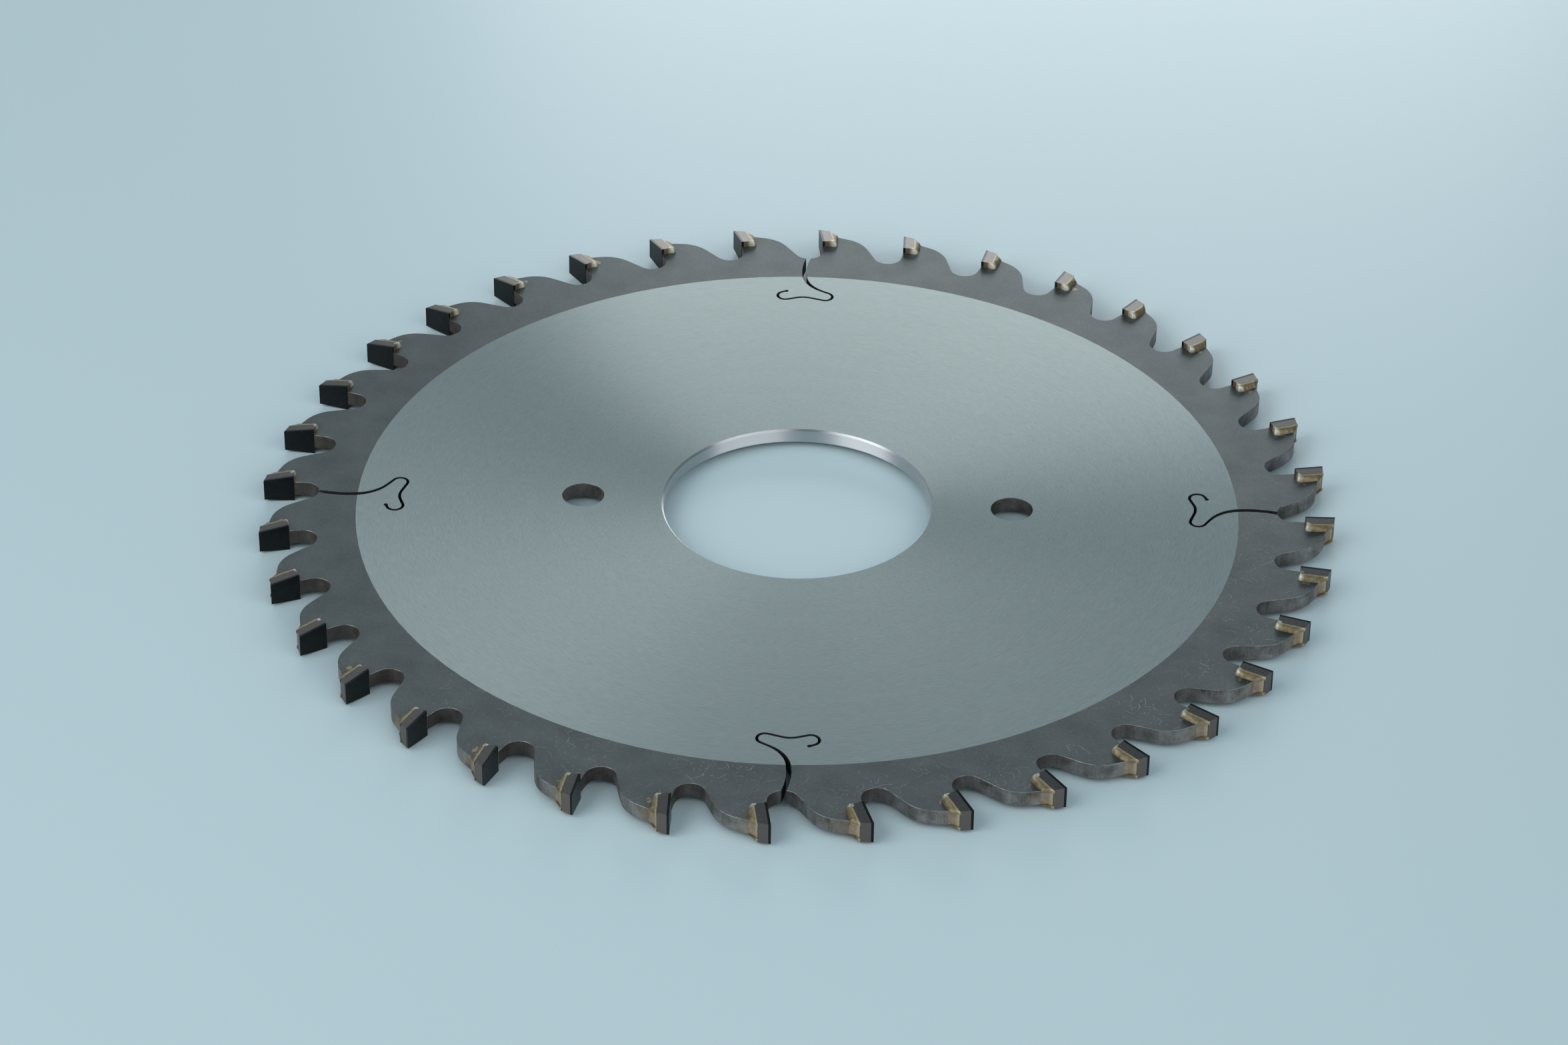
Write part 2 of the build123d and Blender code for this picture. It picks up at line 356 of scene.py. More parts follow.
def fibres(tree, polar, cell, length, share):
    """Curled fibres, at most one in each cell of this size: 1 on a fibre and 0 beside it."""
    aside = add_node(tree, "Math", {0: polar["height"], 1: UNDERSIDE_SHIFT}, operation="MULTIPLY")
    moved = add_node(tree, "VectorMath", {0: polar["flat"], 1: aside}, operation="ADD")
    cells = add_node(tree, "TexVoronoi", {"Vector": moved, "Scale": 1 / cell}, voronoi_dimensions="2D")
    own = add_node(tree, "VectorMath", {0: moved, 1: cells.outputs["Position"]}, operation="SUBTRACT")
    chance = add_node(tree, "SeparateColor", {0: cells.outputs["Color"]})
    turn = add_node(tree, "Math", {0: chance.outputs[0], 1: 2 * pi}, operation="MULTIPLY")
    turned = add_node(tree, "VectorRotate", {"Vector": own, "Angle": turn}, rotation_type="Z_AXIS")
    parts = add_node(tree, "SeparateXYZ", {0: turned})
    swing = add_node(tree, "Math", {0: parts.outputs[0], 1: 2 * pi / FIBRE_WAVE}, operation="MULTIPLY")
    phase = add_node(tree, "Math", {0: swing, 1: turn}, operation="ADD")
    wave = add_node(tree, "Math", {0: phase}, operation="SINE")
    height = add_node(tree, "Math", {0: chance.outputs[1], 1: FIBRE_CURL * cell}, operation="MULTIPLY")
    curl = add_node(tree, "Math", {0: wave, 1: height}, operation="MULTIPLY")
    gap = add_node(tree, "Math", {0: parts.outputs[1], 1: curl}, operation="SUBTRACT")
    off_line = add_node(tree, "Math", {0: gap}, operation="ABSOLUTE")
    soft_side = {0: off_line, 1: 0.3 * FIBRE_WIDTH, 2: 0.6 * FIBRE_WIDTH, 3: 1.0, 4: 0.0}
    line = add_node(tree, "MapRange", soft_side)
    along = add_node(tree, "Math", {0: parts.outputs[0]}, operation="ABSOLUTE")
    within = add_node(tree, "Math", {0: along, 1: length / 2}, operation="LESS_THAN")
    chosen = add_node(tree, "MapRange", {0: chance.outputs[2], 1: 1 - share, 2: 1.0, 3: 0.0, 4: 1.0})
    strength = add_node(tree, "Math", {0: chosen, 1: 0.4}, operation="POWER")
    piece = add_node(tree, "Math", {0: line, 1: within}, operation="MULTIPLY")
    return add_node(tree, "Math", {0: piece, 1: strength}, operation="MULTIPLY")


def lint(tree, polar):
    """Long and short fibres together, in patches, and thickest towards the front right."""
    long_ones = fibres(tree, polar, **LONG_LINT)
    short_ones = fibres(tree, polar, **SHORT_LINT)
    both = add_node(tree, "Math", {0: long_ones, 1: short_ones}, operation="MAXIMUM")
    where = add_node(tree, "TexNoise", {"Vector": polar["place"], "Scale": 1 / LINT_PATCH, "Detail": 2.0})
    shown = add_node(tree, "MapRange", {0: where, 1: 0.40, 2: 0.62, 3: 0.2, 4: 0.75})
    towards = {0: polar["flat"], 1: LINT_SIDE}
    front = add_node(tree, "VectorMath", towards, operation="DOT_PRODUCT").outputs["Value"]
    side = {0: front, 1: LINT_SIDE_START, 2: LINT_SIDE_END, 3: 0.2, 4: 1.0}
    left_on = add_node(tree, "MapRange", side)
    present = add_node(tree, "Math", {0: shown, 1: left_on}, operation="MULTIPLY")
    return add_node(tree, "Math", {0: both, 1: present}, operation="MULTIPLY")


print(f"lint: up to {LONG_LINT['length'] / MM:.2f} mm and {SHORT_LINT['length'] / MM:.2f} mm long")

# %% [markdown]
# ## Spilled braze
#
# Here and there a drop of braze has run onto the plate behind a tip's root and set there as a pale smear.
# It is too thin to have a form of its own, so it is a pattern: a noise that only rises high enough near
# that place of a tooth, and not at every tooth.

# %% Spilled braze
SPILL_IN = 4.4 * MM
SPILL_BEHIND = 3.4 * MM
SPILL_CORE = 0.5 * MM
SPILL_REACH = 1.6 * MM
SPILL_PATCH = 1.4 * MM


def spilled_braze(tree, polar):
    """Smears of braze on the plate behind some tips' roots: most on a smear, and 0 beside it."""
    distance = distance_at_tooth(tree, tooth_layout(tree, polar), (SPILL_IN, SPILL_BEHIND, 0))
    near = add_node(tree, "MapRange", {0: distance, 1: SPILL_CORE, 2: SPILL_REACH, 3: 0.08, 4: -0.3})
    flow = add_node(tree, "TexNoise", {"Vector": polar["place"], "Scale": 1 / SPILL_PATCH, "Detail": 2.0})
    level = add_node(tree, "Math", {0: flow, 1: near}, operation="ADD")
    return add_node(tree, "MapRange", {0: level, 1: 0.62, 2: 0.67, 3: 0.0, 4: 0.8})


print(f"spilled braze: {SPILL_IN / MM:.1f} mm in from the rim")

# %% [markdown]
# ## Hardened steel at the rim
#
# Outside the ground circle the plate keeps its skin from hardening: a dark slate grey that is almost
# matt, with a sandy grain from blasting. The skin is a metal whose base colour is the dark oxide's, which
# keeps a soft sheen that a plain dark paint would lack. Stain, spilled braze and lint are laid over it in
# that order, as they came to the real one.

# %% Hardened steel
SAND = 0.18 * MM
SKIN_CLOUD = 6 * MM
SAND_SHARE = 0.6
SKIN_STAIN_END = 5.2 * MM
SKIN_STAIN_STRENGTH = 0.8


def hardened_steel():
    """Steel with its dark skin from hardening: slate grey, nearly matt, with lint and heat stain."""
    material, tree = new_material("hardened_steel")
    polar = polar_layout(tree)
    broad = add_node(tree, "TexNoise", {"Vector": polar["place"], "Scale": 1 / SKIN_CLOUD, "Detail": 4.0})
    sand = add_node(tree, "TexNoise", {"Vector": polar["place"], "Scale": 1 / SAND, "Detail": 2.0})
    mottle = add_node(tree, "Mix", {0: SAND_SHARE, 2: broad, 3: sand}, data_type="FLOAT")
    skin = add_node(tree, "ValToRGB", {0: mottle}, stops=[(0.35, "555d5e"), (0.65, "6f7677")])
    stain = heat_stain(tree, polar, SKIN_STAIN_END)
    share = add_node(tree, "Math", {0: stain, 1: SKIN_STAIN_STRENGTH}, operation="MULTIPLY")
    browned = add_node(tree, "Mix", {0: share, 6: skin, 7: linear("57483a")}, data_type="RGBA")
    spill = {0: spilled_braze(tree, polar), 6: browned.outputs[2], 7: linear("a89d7d")}
    smeared = add_node(tree, "Mix", spill, data_type="RGBA")
    dusting = {0: lint(tree, polar), 6: smeared.outputs[2], 7: linear("c3c8c5")}
    dusted = add_node(tree, "Mix", dusting, data_type="RGBA")
    gloss = add_node(tree, "MapRange", {0: mottle, 1: 0.35, 2: 0.65, 3: 0.43, 4: 0.49})
    return finish_material(
        material,
        Base_Color=dusted.outputs[2],
        Metallic=1.0,
        Roughness=gloss,
        Anisotropic=0.22,
        Tangent=polar["outward"],
    )


skin_finish = hardened_steel()

# %% [markdown]
# ## Laser-cut edges
#
# The laser leaves the edge of the plate with a grey-brown oxide, sandy and faintly ridged upright, golden
# brown where the torch warmed it, and charred just ahead of each seat. The ridges could be cut into the
# mesh, but at 0.35 mm apart they are only a pattern to the eye: a noise squeezed along the edge and drawn
# out upright, with a little bump.

# %% Laser-cut edges
RIDGE_SPACING = 0.35 * MM
RIDGE_LENGTH = 3.0 * MM
RIDGE_DEPTH = 0.02 * MM
EDGE_CLOUD = 2.5 * MM
EDGE_STAIN_END = 7.0 * MM
CHAR_START = 1.2 * MM
CHAR_END = 6.5 * MM


def laser_cut_edge():
    """Steel cut by a laser: grey-brown oxide, sandy with faint ridges, golden near each tip."""
    material, tree = new_material("laser_cut_edge")
    polar = polar_layout(tree)
    stretch = Vector((1 / RIDGE_SPACING, 1 / RIDGE_SPACING, 1 / RIDGE_LENGTH))
    squeezed = add_node(tree, "Mapping", {"Vector": polar["place"], "Scale": stretch})
    ridges = add_node(tree, "TexNoise", {"Vector": squeezed, "Scale": 1.0, "Detail": 2.0})
    sand = add_node(tree, "TexNoise", {"Vector": polar["place"], "Scale": 1 / SAND, "Detail": 2.0})
    cloud = add_node(tree, "TexNoise", {"Vector": polar["place"], "Scale": 1 / EDGE_CLOUD, "Detail": 3.0})
    fine = add_node(tree, "Mix", {0: 0.6, 2: ridges, 3: sand}, data_type="FLOAT")
    both = add_node(tree, "Mix", {0: 0.55, 2: fine, 3: cloud}, data_type="FLOAT")
    tone = add_node(tree, "ValToRGB", {0: both}, stops=[(0.36, "534f4c"), (0.62, "959595")])
    golden = {0: cloud, 6: linear("5c4a38"), 7: linear("a8916b")}
    brown = add_node(tree, "Mix", golden, data_type="RGBA").outputs[2]
    stain = heat_stain(tree, polar, EDGE_STAIN_END)
    browned = add_node(tree, "Mix", {0: stain, 6: tone, 7: brown}, data_type="RGBA").outputs[2]
    ahead = tooth_layout(tree, polar)["ahead"]
    burnt = add_node(tree, "MapRange", {0: ahead, 1: CHAR_START, 2: CHAR_END, 3: 0.8, 4: 0.15})
    charred = add_node(tree, "Mix", {0: burnt, 6: browned, 7: linear("3a302a")}, data_type="RGBA")
    relief = add_node(tree, "Bump", {"Strength": 0.25, "Distance": RIDGE_DEPTH, "Height": fine})
    base = charred.outputs[2]
    return finish_material(material, Base_Color=base, Metallic=0.7, Roughness=0.48, Normal=relief)


cut_finish = laser_cut_edge()

# %% [markdown]
# ## Slot walls and the edge line
#
# Inside the narrow expansion slots the walls are nearly black. That is their oxide, darkened further as
# painted shade, because little light gets into a slot. A thin line of bare steel runs along the top and
# bottom of the other cuts, where the burr was taken off. Both are plain finishes with a faint cloud, so
# that they aren't one flat colour, and one function makes them both.

# %% Slot walls and the edge line
# The slot walls' tones: oxide darkened nearly to black, most of it painted shade.
SLOT_OXIDE_AND_SHADE = {"patch": 0.6 * MM, "detail": 3.0, "stops": [(0.35, "0c1214"), (0.7, "1c2427")]}
WORN_STEEL = {"patch": 1.2 * MM, "detail": 2.0, "stops": [(0.35, "5c5f5e"), (0.65, "8c8f8d")]}


def clouded_finish(name, patch, detail, stops, **inputs):
    """A plain finish whose colour wanders between two tones, in patches of this size."""
    material, tree = new_material(name)
    place = polar_layout(tree)["place"]
    cloud = add_node(tree, "TexNoise", {"Vector": place, "Scale": 1 / patch, "Detail": detail})
    tone = add_node(tree, "ValToRGB", {0: cloud}, stops=stops)
    return finish_material(material, Base_Color=tone, **inputs)


# The slot walls take their oxide with painted shade laid over it.
slot_shade_finish = clouded_finish("slot_oxide_and_shade", Metallic=0.0, Roughness=0.6, **SLOT_OXIDE_AND_SHADE)
edge_finish = clouded_finish("deburred_edge", Metallic=1.0, Roughness=0.48, **WORN_STEEL)

# %% [markdown]
# ## The bore
#
# The bore is ground and polished round its axis, so its marks run round, and it mirrors the room as
# bright and dark upright bands. Its tangent points up, across the marks, as the tangent of the ground
# face points outwards across its own. The marks are drawn 0.08 mm wide, coarser than they are.

# %% The bore
HONE_LENGTH = 4 * MM
HONE_WIDTH = 0.08 * MM


def polished_bore():
    """A bore ground and polished round its axis: bright steel, its highlights stretched upright."""
    material, tree = new_material("polished_bore")
    polar = polar_layout(tree)
    upright = add_node(tree, "CombineXYZ", {2: 1.0})
    stretch = Vector((1 / HONE_LENGTH, 1 / HONE_LENGTH, 1 / HONE_WIDTH))
    squeezed = add_node(tree, "Mapping", {"Vector": polar["place"], "Scale": stretch})
    rings = add_node(tree, "TexNoise", {"Vector": squeezed, "Scale": 1.0, "Detail": 1.0})
    gloss = add_node(tree, "MapRange", {0: rings, 1: 0.3, 2: 0.7, 3: 0.38, 4: 0.44})
    return finish_material(
        material,
        Base_Color=linear("ced0d2"),
        Metallic=1.0,
        Roughness=gloss,
        Anisotropic=0.97,
        Tangent=upright,
    )


bore_finish = polished_bore()

# %% [markdown]
# ## The plate's copy
#
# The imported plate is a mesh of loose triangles. A copy is welded, each face gets its finish by where it
# lies and which way it looks, and then the flat faces are put back together, as far as their finish is
# the same. An upright face belongs to the bore, a pin hole, a slot or a gullet by how far out it lies.

# %% The plate's copy
WELD = 0.002 * MM
FLAT_ANGLE = radians(0.6)
FACES_UP = 0.9
GROUND_MARGIN = 0.01 * MM
BORE_MARGIN = 1 * MM
PIN_REACH = 40 * MM
GULLET_FLOOR = 80.3 * MM
PLATE_FINISHES = [ground_finish, skin_finish, cut_finish, edge_finish, bore_finish, slot_shade_finish]
GROUND, SKIN, CUT, EDGE, BORE, SLOT = range(len(PLATE_FINISHES))


def welded_copy(node_name):
    """A bmesh with a CAD node's triangles, welded together."""
    work = bmesh.new()
    work.from_mesh(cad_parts[node_name].data)
    bmesh.ops.remove_doubles(work, verts=work.verts, dist=WELD)
    return work


def plate_finish(face):
    """Which finish a face of the plate has, before its edges are broken."""
    reach = max(Vector(v.co[:2]).length for v in face.verts)
    if abs(face.normal.z) > FACES_UP:
        return GROUND if reach < GROUND_RADIUS + GROUND_MARGIN else SKIN
    if reach < bore_radius + BORE_MARGIN:
        return BORE
    nearest = min(Vector(v.co[:2]).length for v in face.verts)
    return SLOT if PIN_REACH < nearest < GULLET_FLOOR else CUT


plate = welded_copy("saw_plate")
for face in plate.faces:
    face.material_index = plate_finish(face)
flats = {"verts": plate.verts, "edges": plate.edges, "delimit": {"MATERIAL"}}
bmesh.ops.dissolve_limit(plate, angle_limit=FLAT_ANGLE, use_dissolve_boundaries=False, **flats)
print("plate: faces before its edges are broken", len(plate.faces))

# %% [markdown]
# ## Broken edges
#
# The plate's sharp edges get a tiny bevel, because no real edge is perfectly sharp, and the thin line it
# catches tells the eye that this is metal. The bevel could be a modifier, but done in bmesh it also says
# which faces are the edge line, so they can have the bare steel. The edges inside the slots stay sharp,
# where no tool reaches.

# %% Broken edges and the finished plate
SHARP_ANGLE = radians(60)
EDGE_BREAK = 0.05 * MM


def to_be_broken(edge):
    """Whether an edge of the plate gets a bevel: it is sharp and isn't in a slot."""
    in_slot = any(face.material_index == SLOT for face in edge.link_faces)
    return edge.calc_face_angle(0) > SHARP_ANGLE and not in_slot


def new_piece(work, name, finishes, smooth_angle=25):
    """Turns a bmesh into a finished piece that rides on the blade's one body."""
    mesh = bpy.data.meshes.new(name)
    work.to_mesh(mesh)
    work.free()
    for finish in finishes:
        mesh.materials.append(finish)
    mesh.shade_smooth()
    mesh.set_sharp_from_angle(angle=radians(smooth_angle))
    piece = bpy.data.objects.new(name, mesh)
    bpy.context.scene.collection.objects.link(piece)
    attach(piece, "root")
    return piece


sharp = [edge for edge in plate.edges if to_be_broken(edge)]
broken = bmesh.ops.bevel(
    plate,
    geom=sharp,
    offset=EDGE_BREAK,
    offset_type="OFFSET",
    segments=1,
    profile=0.5,
    affect="EDGES",
    material=-1,
    loop_slide=False,
    clamp_overlap=False,
)
for face in broken["faces"]:
    face.material_index = EDGE
print("plate: sharp edges", len(sharp), "faces", len(plate.faces))

saw_plate = new_piece(plate, "plate", PLATE_FINISHES)
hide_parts("saw_plate")

# %% [markdown]
# ## Carbide
#
# Each tip is sintered tungsten carbide, diamond-ground on its flanks and its top: a dense brown-grey,
# darker than steel, with a faint grit that is drawn coarser than it is, so that it shows. It is a metal
# to light, so the shader is metallic with a dark base colour. Its upright faces are given a lighter,
# browner tone than the flank: painted light, for the light that these faces catch. A ragged smear of
# silver braze is left on each flank, at its inner rear corner. It could be a thin piece of mesh, but it
# has no thickness to see, so it is part of the finish.

# %% Carbide
CARBIDE_GRIT = 0.25 * MM
CARBIDE_DEPTH = 0.01 * MM
SMEAR_INSET = 0.1 * MM
SMEAR_PATCH = 0.6 * MM
SMEAR_RAGGED = 0.35 * MM
SMEAR_CORE = 0.15 * MM
SMEAR_REACH = 0.45 * MM


def ragged_spot(tree, distance, flow, ragged, core, reach):
    """A spot with a ragged rim: 0.9 within its core, and 0 beyond its reach."""
    shift = add_node(tree, "MapRange", {0: flow, 1: 0.3, 2: 0.7, 3: -ragged, 4: ragged})
    moved = add_node(tree, "Math", {0: distance, 1: shift}, operation="ADD")
    return add_node(tree, "MapRange", {0: moved, 1: core, 2: reach, 3: 0.9, 4: 0.0})


def braze_smear(tree, polar):
    """The smear of braze at a flank's inner rear corner."""
    corner = (tip_length, tip_thickness - SMEAR_INSET, 0)
    distance = distance_at_tooth(tree, tooth_layout(tree, polar), corner)
    flow = add_node(tree, "TexNoise", {"Vector": polar["place"], "Scale": 1 / SMEAR_PATCH, "Detail": 2.0})
    return ragged_spot(tree, distance, flow, SMEAR_RAGGED, SMEAR_CORE, SMEAR_REACH)


def ground_carbide():
    """Tungsten carbide, ground: dark brown-grey with a soft sheen, and a smear of braze on its flank."""
    material, tree = new_material("ground_carbide")
    polar = polar_layout(tree)
    grit = add_node(tree, "TexNoise", {"Vector": polar["place"], "Scale": 1 / CARBIDE_GRIT, "Detail": 3.0})
    tone = add_node(tree, "ValToRGB", {0: grit}, stops=[(0.3, "625f5e"), (0.7, "72706e")])
    facing = add_node(tree, "NewGeometry").outputs["True Normal"]
    upright = add_node(tree, "SeparateXYZ", {0: facing}).outputs[2]
    flank = add_node(tree, "Math", {0: upright}, operation="ABSOLUTE")
    # Upright faces get a lighter, browner tone than the flank: painted light, for the light they catch.
    painted_light_share = add_node(tree, "MapRange", {0: flank, 1: 0.3, 2: 0.7, 3: 1.0, 4: 0.0})
    painted_light_mix = {0: painted_light_share, 6: tone, 7: linear("746b66")}
    painted_light_tone = add_node(tree, "Mix", painted_light_mix, data_type="RGBA").outputs[2]
    smear = braze_smear(tree, polar)
    silver = {0: smear, 6: painted_light_tone, 7: linear("c2c2b4")}
    smeared = add_node(tree, "Mix", silver, data_type="RGBA").outputs[2]
    bare = add_node(tree, "MapRange", {0: smear, 1: 0.0, 2: 0.9, 3: 1.0, 4: 0.3})
    relief = add_node(tree, "Bump", {"Strength": 0.15, "Distance": CARBIDE_DEPTH, "Height": grit})
    return finish_material(material, Base_Color=smeared, Metallic=bare, Roughness=0.4, Normal=relief)


carbide_finish = ground_carbide()

# %% [markdown]
# ## Diamond
#
# The front of each tip is a layer of sintered diamond, 0.4 mm thick, with a lapped cutting face. It is
# black with a cool tint, and it isn't metallic. A lapped face of many small crystals scatters more than
# one gem does, so its index of refraction is set lower than a clear diamond's.

# %% Diamond
BLACK = {"patch": 0.8 * MM, "detail": 4.0, "stops": [(0.4, "070a0c"), (0.75, "101517")]}

diamond_finish = clouded_finish("lapped_diamond", Metallic=0.0, Roughness=0.3, IOR=1.3, **BLACK)

# %% [markdown]
# ## The tips take their finishes
#
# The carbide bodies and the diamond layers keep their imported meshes. Both were ground or lapped flat, so
# their plain faces are right as they are, and only their material is changed, found by the first word of
# the node's name.

# %% Tips and diamond layers take their finishes
finishes = {"carbide": carbide_finish, "diamond": diamond_finish}
for name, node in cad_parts.items():
    for word, finish in finishes.items():
        if name.startswith(word):
            node.data.materials.clear()
            node.data.materials.append(finish)
print("finished tips", sum(name.startswith(tuple(finishes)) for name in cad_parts))

# %% [markdown]
# ## Braze
#
# Silver braze runs into the seat as a film and stands round the tip's foot as a fillet. It sets gold, and
# olive to dark brown where flux and heat have stained it. The colour could follow a noise alone, but here
# it is read from the height: olive brown where the fillet runs out on the plate and paler up its slope,
# which is painted shade at the foot and painted light up the slope, and a mottled brown below the plate's
# top, on the bead at the tooth's back. A pale band beside the tip is a painted highlight, for the light
# that the steep braze next to the tip catches. The film at the tip's root is scorched just behind the
# diamond, and a silver drop sits at its inner corner.

# %% Braze as it set
BRAZE_FLOW = 0.9 * MM
BRAZE_DEPTH = 0.03 * MM
BRAZE_CREST = 0.6 * MM
SCORCH_FRONT = 0.9 * MM
SCORCH_BACK = 0.3 * MM
BELOW_EDGE = 0.4 * MM
ABOVE_EDGE = 0.3 * MM
# How far behind the tip the painted highlight beside it reaches.
HIGHLIGHT_NEAR = 0.1 * MM
HIGHLIGHT_FAR = 0.4 * MM
DROP_IN = 0.3 * MM
DROP_BACK = 0.2 * MM
DROP_RAGGED = 0.3 * MM
DROP_CORE = 0.2 * MM
DROP_REACH = 0.95 * MM
SCORCHED_BRAZE = linear("57493c")


def root_scorch(tree, tooth):
    """How burnt the film of braze at a tip's root is: most behind the diamond, 0 at the back."""
    front = tip_thickness - SCORCH_FRONT
    back = tip_thickness - SCORCH_BACK
    return add_node(tree, "MapRange", {0: tooth["behind"], 1: front, 2: back, 3: 0.85, 4: 0.0})


def silver_drop(tree, tooth, flow):
    """The drop where the fillet turns the tip's inner corner."""
    distance = distance_at_tooth(tree, tooth, (tip_length + DROP_IN, tip_thickness + DROP_BACK, 0))
    return ragged_spot(tree, distance, flow, DROP_RAGGED, DROP_CORE, DROP_REACH)


def silver_braze():
    """Silver braze as it set: olive brown, with painted shade at its foot and painted light up its slope."""
    material, tree = new_material("silver_braze")
    polar = polar_layout(tree)
    tooth = tooth_layout(tree, polar)
    flow = add_node(tree, "TexNoise", {"Vector": polar["place"], "Scale": 1 / BRAZE_FLOW, "Detail": 3.0})
    sand = add_node(tree, "TexNoise", {"Vector": polar["place"], "Scale": 1 / SAND, "Detail": 2.0})
    high = add_node(tree, "Math", {0: polar["height"]}, operation="ABSOLUTE")
    # Paler up the slope and darker at the foot: painted light and painted shade, read from the height.
    rise = {0: high, 1: plate_top, 2: plate_top + BRAZE_CREST, 3: 0.12, 4: 0.55}
    painted_light_by_height = add_node(tree, "MapRange", rise)
    texture = add_node(tree, "Mix", {0: 0.5, 2: flow, 3: sand}, data_type="FLOAT")
    uneven = add_node(tree, "MapRange", {0: texture, 1: 0.35, 2: 0.65, 3: -0.22, 4: 0.25})
    share = add_node(tree, "Math", {0: painted_light_by_height, 1: uneven}, operation="ADD")
    olive_to_gold = [(0.0, "544a37"), (0.5, "73684d"), (0.95, "978b6d")]
    slope = add_node(tree, "ValToRGB", {0: share}, stops=olive_to_gold)
    brown = {0: texture, 6: linear("55463a"), 7: linear("b3a089")}
    mottled = add_node(tree, "Mix", brown, data_type="RGBA").outputs[2]
    edge = {0: high, 1: plate_top - BELOW_EDGE, 2: plate_top + ABOVE_EDGE, 3: 1.0, 4: 0.0}
    below = add_node(tree, "MapRange", edge)
    both = add_node(tree, "Mix", {0: below, 6: slope, 7: mottled}, data_type="RGBA").outputs[2]
    # A pale band beside the tip: a painted highlight, where the steep braze catches light.
    near = {0: tooth["behind"], 1: tip_thickness + HIGHLIGHT_NEAR, 2: tip_thickness + HIGHLIGHT_FAR, 3: 0.65, 4: 0.0}
    painted_highlight = add_node(tree, "MapRange", near)
    highlighted = add_node(tree, "Mix", {0: painted_highlight, 6: both, 7: linear("b5aa89")}, data_type="RGBA").outputs[2]
    burn = {0: root_scorch(tree, tooth), 6: highlighted, 7: SCORCHED_BRAZE}
    burnt = add_node(tree, "Mix", burn, data_type="RGBA").outputs[2]
    drop = silver_drop(tree, tooth, flow)
    silvered = add_node(tree, "Mix", {0: drop, 6: burnt, 7: linear("bfc1b2")}, data_type="RGBA")
    relief = add_node(tree, "Bump", {"Strength": 0.3, "Distance": BRAZE_DEPTH, "Height": texture})
    base = silvered.outputs[2]
    return finish_material(material, Base_Color=base, Metallic=0.5, Roughness=0.45, Normal=relief)


set_finish = silver_braze()

# %% [markdown]
# ## Ground braze
#
# Where the wheel that ground the flank has cut the fillet too, the braze is bare: a cleaner, paler gold
# with a little more gloss, scorched at the root's front like the rest.

# %% Braze ground level with the flank
GROUND_FLOW = 0.5 * MM


def ground_braze():
    """Braze ground off level with the tip's flank: clean pale gold, a narrow line beside the tip."""
    material, tree = new_material("ground_braze")
    polar = polar_layout(tree)
    flow = add_node(tree, "TexNoise", {"Vector": polar["place"], "Scale": 1 / GROUND_FLOW, "Detail": 2.0})
    tone = add_node(tree, "ValToRGB", {0: flow}, stops=[(0.35, "8b8164"), (0.65, "b1a685")])
    burn = {0: root_scorch(tree, tooth_layout(tree, polar)), 6: tone, 7: SCORCHED_BRAZE}
    burnt = add_node(tree, "Mix", burn, data_type="RGBA")
    return finish_material(material, Base_Color=burnt.outputs[2], Metallic=0.6, Roughness=0.4)


crest_finish = ground_braze()

# %% [markdown]
# ## The fillet's form
#
# Molten braze wets both the tip and the plate and stands behind the tip as a full, rounded fillet, which
# runs out over the bead on the tooth's back. The flank of the tip is ground after brazing, and that
# grinding cuts the fillet's crest off flat, level with the flank. A sphere or a bevel can't follow that,
# but a grid can. Its rows are stations along the tip's foot: from behind the diamond along the root,
# round the inner corner, and out along the back. Its columns go over the crest, down the fillet, round
# under it and back. The fillet is thin at the root's front and grows to its full width round the corner
# and outwards, where it may not be wider than the bead it runs over.

# %% The fillet's stations and its section
FILLET_WIDTH = 1.25 * MM
WIDTH_AT_FRONT = 0.05
WIDTH_AT_ROOT = 0.3
WIDTH_AT_BACK = 0.7
FILLET_START = 0.45 * MM
FILLET_END = 0.6 * MM
BEAD_SLOPE = 0.79
BEAD_MARGIN = 0.04 * MM
ROOT_STATIONS = 8
CORNER_STATIONS = 5
BACK_STATIONS = 28
CREST_SHARE = 0.1
SLOPE_STEPS = 8
SLOPE_POWER = 0.75


def fillet_stations():
    """Places along the tip's foot, each with the way out of it in degrees and the fillet's width there."""
    stations = []
    for step in range(ROOT_STATIONS):
        share = step / (ROOT_STATIONS - 1)
        foot = Vector((-tip_length, -FILLET_START - (tip_thickness - FILLET_START) * share, 0))
        width = WIDTH_AT_FRONT + (WIDTH_AT_ROOT - WIDTH_AT_FRONT) * share**2
        stations.append((foot, 180, FILLET_WIDTH * width))
    corner = Vector((-tip_length, -tip_thickness, 0))
    for step in range(1, CORNER_STATIONS + 1):
        share = step / (CORNER_STATIONS + 1)
        width = WIDTH_AT_ROOT + (WIDTH_AT_BACK - WIDTH_AT_ROOT) * share
        stations.append((corner, 180 + 90 * share, FILLET_WIDTH * width))
    for step in range(1, BACK_STATIONS + 1):
        share = step / BACK_STATIONS
        foot = Vector((-tip_length + (tip_length - FILLET_END) * share, -tip_thickness, 0))
        width = FILLET_WIDTH * (1 - (1 - WIDTH_AT_BACK) * (1 - share) ** 3)
        over_bead = BEAD_SLOPE * (-foot.x - FILLET_END) + BEAD_MARGIN
        stations.append((foot, 270, min(width, over_bead)))
    return stations


def fillet_section():
    """Shares of the fillet's width and height: the crest that is ground flat, then the rounded slope."""
    section = [(0.0, 1.0), (CREST_SHARE, 1.0)]
    for step in range(1, SLOPE_STEPS + 1):
        share = step / SLOPE_STEPS
        section.append((CREST_SHARE + (1 - CREST_SHARE) * share, (1 - share**2) ** SLOPE_POWER))
    return section


print("fillet: stations", len(fillet_stations()), "points in its section", len(fillet_section()))

